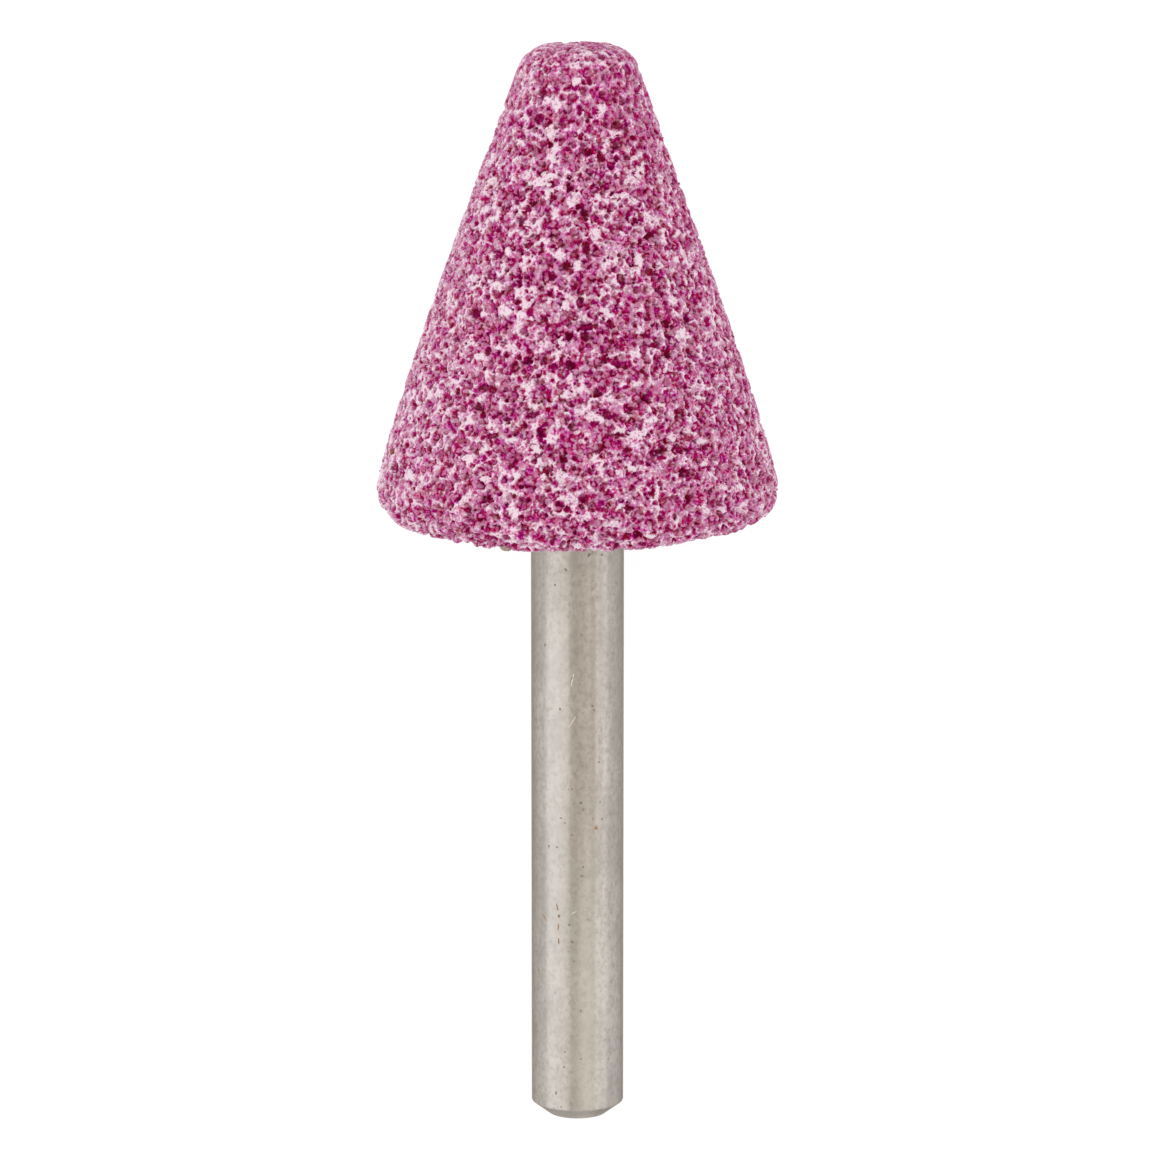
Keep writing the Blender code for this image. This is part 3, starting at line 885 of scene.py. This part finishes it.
# Painted light: how much lighter the left side of the head is.
LEFT_LIGHT_TONE = 0.07
TIP_CONTRAST = 0.84
CONTRAST_TONE = 0.56
TINT_SIZE = 0.0004
GREY_SIZE = 0.00045
GREY_RANGE = (0.34, 0.66)
GLINT_SIZE = 0.00009
GLINT_RELIEF = 0.000015


def toned(tree, tone):
    """The stone's colour for a tone from 0, the darkest, to 1, the palest."""
    ramp = add(tree, "ShaderNodeValToRGB", {"Fac": tone})
    stops = ramp.color_ramp.elements
    while len(stops) > 1:
        stops.remove(stops[0])
    stops[0].position = TONES[0][0]
    stops[0].color = (*TONES[0][1], 1.0)
    for position, colour in TONES[1:]:
        stops.new(position).color = (*colour, 1.0)
    return ramp.outputs["Color"]


def varied(tree, tone, pattern, strength):
    """The tone, made lighter where a pattern is above its middle and darker where it is below."""
    return plus(tree, tone, times(tree, pattern, 0.5, "SUBTRACT"), strength)


def alumina_finish(name):
    finish = bpy.data.materials.new(name)
    finish.use_nodes = True
    tree = finish.node_tree
    shader = tree.nodes["Principled BSDF"]
    place = add(tree, "ShaderNodeAttribute", attribute_name="skin_place").outputs["Vector"]
    mark = add(tree, "ShaderNodeAttribute", attribute_name="mark").outputs["Fac"]
    depth, share, crevice, pale, grain = open_pores(tree, place, mark)
    flecks = spread(tree, place, FLECK_SIZE, 3.0, 0.65, shift=0.5)
    clumps = spread(tree, place, CLUMP_SIZE, 2.0, 0.5, shift=0.9)
    clouds = spread(tree, place, CLOUD_SIZE, 2.0, 0.55, shift=0.6)
    # Painted shade: darker the deeper a place lies in a pore, and darker in the crevices.
    sunk = between(tree, depth, *SUNK_DEPTHS)
    tone = times(tree, times(tree, sunk, DEPTH_SHADE), MIDDLE_TONE, "ADD")
    tone = plus(tree, tone, crevice, CREVICE_SHADE)
    tone = varied(tree, tone, grain[0], GRAIN_TONE)
    tone = varied(tree, tone, clouds, CLOUD_TONE)
    tone = varied(tree, tone, clumps, CLUMP_TONE)
    on_skin = between(tree, share, 0.92, 1.40)
    worn = plus(tree, times(tree, clumps, 0.8), flecks, 0.7)
    dusty = times(tree, on_skin, between(tree, worn, 0.60, 0.90))
    on_pale = times(tree, pale, between(tree, flecks, 0.24, 0.56))
    dusty = times(tree, dusty, on_pale, "MAXIMUM")
    tone = varied(tree, tone, flecks, between(tree, dusty, 0.0, 1.0, 1.0, DUSTY_FLECKS))
    tone = plus(tree, tone, dusty, DUST_TONE)
    # Painted light: the left side of the head lighter, towards the left lamp.
    level = level_part(tree, place)
    outward = add(tree, "ShaderNodeVectorMath", {0: level}, operation="NORMALIZE").outputs[0]
    side = split(tree, outward)[0]
    tone = times(tree, tone, between(tree, side, -0.55, -0.95, 0.0, LEFT_LIGHT_TONE), "ADD")
    contrast = between(tree, split(tree, place)[2], 0.022, 0.028, 1.0, TIP_CONTRAST)
    tone = times(tree, times(tree, tone, CONTRAST_TONE, "SUBTRACT"), contrast)
    tone = times(tree, tone, CONTRAST_TONE, "ADD")
    tints = spread(tree, place, TINT_SIZE, 2.0, 0.6, shift=0.3)
    greys = spread(tree, place, GREY_SIZE, 2.0, 0.6, shift=0.75)
    strong = between(tree, clouds, 0.7, 0.3, 0.95, 1.10)
    strong = times(tree, strong, between(tree, greys, *GREY_RANGE, 0.85, 1.18))
    colour = add(
        tree,
        "ShaderNodeHueSaturation",
        {
            "Hue": between(tree, tints, 0.3, 0.7, 0.475, 0.525),
            "Saturation": strong,
            "Value": between(tree, greys, *GREY_RANGE, 0.97, 1.03),
            "Color": toned(tree, tone),
        },
    ).outputs["Color"]
    tree.links.new(colour, shader.inputs["Base Color"])
    tree.links.new(between(tree, dusty, 0.0, 1.0, 0.42, 0.80), shader.inputs["Roughness"])
    shader.inputs["Specular IOR Level"].default_value = 0.04
    raised(tree, shader, spread(tree, place, GLINT_SIZE, 2.0, 0.6), GLINT_RELIEF)
    return finish


stone_finish = alumina_finish("pink_fused_alumina")
stone_tree = pore_tree()
stone_values = {"Skin relief": SKIN_RELIEF, "Pore relief": PORE_RELIEF, "Finish": stone_finish}


def row_at(value, axis, after):
    """The first point of the outline, from a given one on, that has passed a radius or a height."""
    return after + int(np.argmax(line[after:, axis] >= value))


# The head's bands, from its base to its tip, each with its number of segments. The first edge
# between them is a radius on the base, and the others are heights.
BANDS = (
    ("base_face", 520), ("rim", 900), ("lower_flank", 900),
    ("middle_flank", 760), ("upper_flank", 560), ("tip", 340),
)
BASE_EDGE = 0.0092
UPPER_EDGES = (0.0036, 0.0095, 0.0165, 0.0250)
rim_start = row_at(BASE_EDGE, 0, 0)
edges = [0, rim_start]
for edge in UPPER_EDGES:
    edges.append(row_at(edge, 1, edges[-1]))
edges.append(len(line) - 1)
for (name, segments), first, last in zip(BANDS, edges, edges[1:]):
    mesh = grown(skin_band(name + "_form", first, last, segments), stone_tree, stone_values)
    mesh.name = name
    mesh.shade_smooth()
    shown(mesh, "grinding_head")

# Grinding head, heart: the solid stone behind the skin, pressed round a blind bore for the shank.
HEART_INSET = 0.0009
HEART_SEGMENTS = 128
HEART_ROW_STEP = 8
HEART_ROWS_LEFT_OUT = 40
heart_rows = line[rim_start:] - line_out[rim_start:] * HEART_INSET
heart_outline = [(0.0, BORE_DEPTH), (BORE_RADIUS, BORE_DEPTH), (BORE_RADIUS, HEART_INSET)]
heart_outline += [tuple(row) for row in heart_rows[:-HEART_ROWS_LEFT_OUT:HEART_ROW_STEP]]
heart_outline += [(0.0, HEAD_LENGTH - HEART_INSET)]
heart_form = turned("stone_heart_form", heart_outline, HEART_SEGMENTS)
heart = grown(heart_form, stone_tree, stone_values)
heart.name = "stone_heart"
shown(heart, "grinding_head")

# Stray grains: two that aren't pink, an iron-stained one in the left flank and a grey-beige one at
# the rim. Each has its (height along the tool, degrees round from the top, length, width, lean,
# how far it stands out), in millimetres and degrees, and its dark and light tints.
STRAY_GRAINS = (
    ("stained_grain", (4.8, -76.0, 0.42, 0.80, -10, 0.05), (0.14, 0.012, 0.02), (0.36, 0.085, 0.065)),
    ("beige_grain", (0.24, -22.1, 0.72, 0.74, 0, 0.20), (0.27, 0.18, 0.17), (0.40, 0.27, 0.25)),
)
GRAIN_HALF_HEIGHT = 0.16
GRAIN_BULGES = ((0.30, 1.3), (0.10, 4.1))
for name, grain_at, dark_tint, light_tint in STRAY_GRAINS:
    height, around, length, width, tilt, proud = grain_at
    place, sideways, upward, out = skin_spot(height, around)
    turn = math.radians(tilt)
    across = sideways * math.cos(turn) + upward * math.sin(turn)
    onward = upward * math.cos(turn) - sideways * math.sin(turn)
    (broad, broad_waves), (fine, fine_waves) = GRAIN_BULGES
    shape = bmesh.new()
    bmesh.ops.create_icosphere(shape, subdivisions=4, radius=1.0)
    for point in shape.verts:
        bulge = 1 + broad * noise.noise(point.co * broad_waves + Vector((height, 0, 0)))
        bulge += fine * noise.noise(point.co * fine_waves)
        x, y, z = point.co * bulge
        spot = across * x * width / 2 + onward * y * length / 2
        spot = spot + out * (z * GRAIN_HALF_HEIGHT + proud - GRAIN_HALF_HEIGHT)
        point.co = Vector(place + spot / 1000)
    grain_mesh = smooth_mesh(name, shape)
    grain_mesh.materials.append(crust_finish(name + "_crust", dark_tint, light_tint, 0.7, 0.0))
    shown(grain_mesh, "grinding_head")

# Setting: a white surface under the tool, a broad soft lamp low on each side, and a plain bright
# room that is a little darker overhead, where the camera is.
SURFACE_HALF_SIZE = 3.0
SURFACE_HEIGHT = -0.00002
floor_mesh = bpy.data.meshes.new("white_surface")
shape = bmesh.new()
bmesh.ops.create_grid(shape, x_segments=1, y_segments=1, size=SURFACE_HALF_SIZE)
bmesh.ops.translate(shape, verts=shape.verts, vec=(0, 0, SURFACE_HEIGHT))
shape.to_mesh(floor_mesh)
shape.free()
white_surface = bpy.data.objects.new("white_surface", floor_mesh)
scene.collection.objects.link(white_surface)


def seen_share(tree):
    """1 for rays that the camera sees straight, in a reflection or through glass, or else 0."""
    ray = add(tree, "ShaderNodeLightPath").outputs
    seen = times(tree, ray["Is Camera Ray"], ray["Is Glossy Ray"], "ADD")
    seen = times(tree, seen, ray["Is Transmission Ray"], "ADD")
    return times(tree, seen, 1.0, "MINIMUM")


paper = bpy.data.materials.new("white_paper")
paper.use_nodes = True
tree = paper.node_tree
tree.nodes.remove(tree.nodes["Principled BSDF"])
lit = add(tree, "ShaderNodeBsdfDiffuse", {"Color": (0.80, 0.80, 0.80, 1.0)})
faint = add(tree, "ShaderNodeBsdfDiffuse", {"Color": (0.14, 0.14, 0.14, 1.0)})
glow = add(tree, "ShaderNodeEmission", {"Color": (1.0, 1.0, 1.0, 1.0), "Strength": 0.90})
white = add(tree, "ShaderNodeAddShader", {0: faint.outputs[0], 1: glow.outputs[0]})
sides = {0: seen_share(tree), 1: lit.outputs[0], 2: white.outputs[0]}
choice = add(tree, "ShaderNodeMixShader", sides)
tree.links.new(choice.outputs[0], tree.nodes["Material Output"].inputs["Surface"])
floor_mesh.materials.append(paper)

room = bpy.data.worlds.new("bright_room")
scene.world = room
room.use_nodes = True
tree = room.node_tree
way = add(tree, "ShaderNodeTexCoord").outputs["Generated"]
overhead = between(tree, split(tree, way)[2], 0.30, 0.90)
warm = blended(tree, overhead, (0.95, 0.935, 0.92), (0.91, 0.855, 0.775))
straight_ray = add(tree, "ShaderNodeLightPath").outputs["Is Camera Ray"]
background = blended(tree, straight_ray, warm, (1.0, 1.0, 1.0))
tree.links.new(background, tree.nodes["Background"].inputs["Color"])

# Each lamp is (upper edge and lower edge, in degrees from straight up, side, radiance).
LAMPS = ((20, 86, -1, 0.58), (48, 83, 1, 0.54), (3, 47, 1, 0.28))
LAMP_DISTANCE = 0.55
LAMP_LENGTH = 0.9
for near_edge, far_edge, side, radiance in LAMPS:
    tilt = math.radians((near_edge + far_edge) / 2)
    width = 2 * LAMP_DISTANCE * math.tan(math.radians((far_edge - near_edge) / 2))
    light = bpy.data.lights.new("soft_lamp", "AREA")
    light.shape = "RECTANGLE"
    light.size = LAMP_LENGTH
    light.size_y = width
    light.energy = radiance * math.pi * LAMP_LENGTH * width
    lamp = bpy.data.objects.new("soft_lamp", light)
    lamp.location = (side * LAMP_DISTANCE * math.sin(tilt), 0.0, LAMP_DISTANCE * math.cos(tilt))
    away = Vector(lamp.location).normalized()
    length_way = Vector((0.0, 1.0, 0.0))
    facing = Matrix((length_way, away.cross(length_way), away)).transposed()
    lamp.rotation_euler = facing.to_euler()
    scene.collection.objects.link(lamp)

# Camera: straight above but for a degree, so that the tool's own slope shows its tip and hides
# the head's base.
IMAGE_PIXELS = 1157
CAMERA_DISTANCE = 0.400
FOCAL_PIXELS = 6196
CAMERA_RISE = 12.55
AIM_HEIGHT = -0.0040
AIM_PIXEL = (577.46, 576.0)
SENSOR_WIDTH = 36.0

camera_data = bpy.data.cameras.new("camera")
camera_data.sensor_width = SENSOR_WIDTH
camera_data.lens = SENSOR_WIDTH * FOCAL_PIXELS / IMAGE_PIXELS
camera_data.clip_start = 0.01
camera_data.clip_end = 20.0
camera = bpy.data.objects.new("camera", camera_data)
scene.collection.objects.link(camera)
scene.camera = camera
rise = math.radians(CAMERA_RISE)
back = (TOOL.to_3x3() @ Vector((0.0, -math.cos(rise), math.sin(rise)))).normalized()
across = Vector((1.0, 0.0, 0.0))
upward = back.cross(across)
pixel = CAMERA_DISTANCE / FOCAL_PIXELS
aside = (IMAGE_PIXELS / 2 - AIM_PIXEL[0]) * pixel
down = (IMAGE_PIXELS / 2 - AIM_PIXEL[1]) * pixel
aim = TOOL @ Vector((0.0, 0.0, AIM_HEIGHT))
stand = aim + back * CAMERA_DISTANCE + across * aside - upward * down
facing = Matrix((across, upward, back)).transposed().to_4x4()
camera.matrix_world = Matrix.Translation(stand) @ facing

scene.view_settings.view_transform = "Standard"
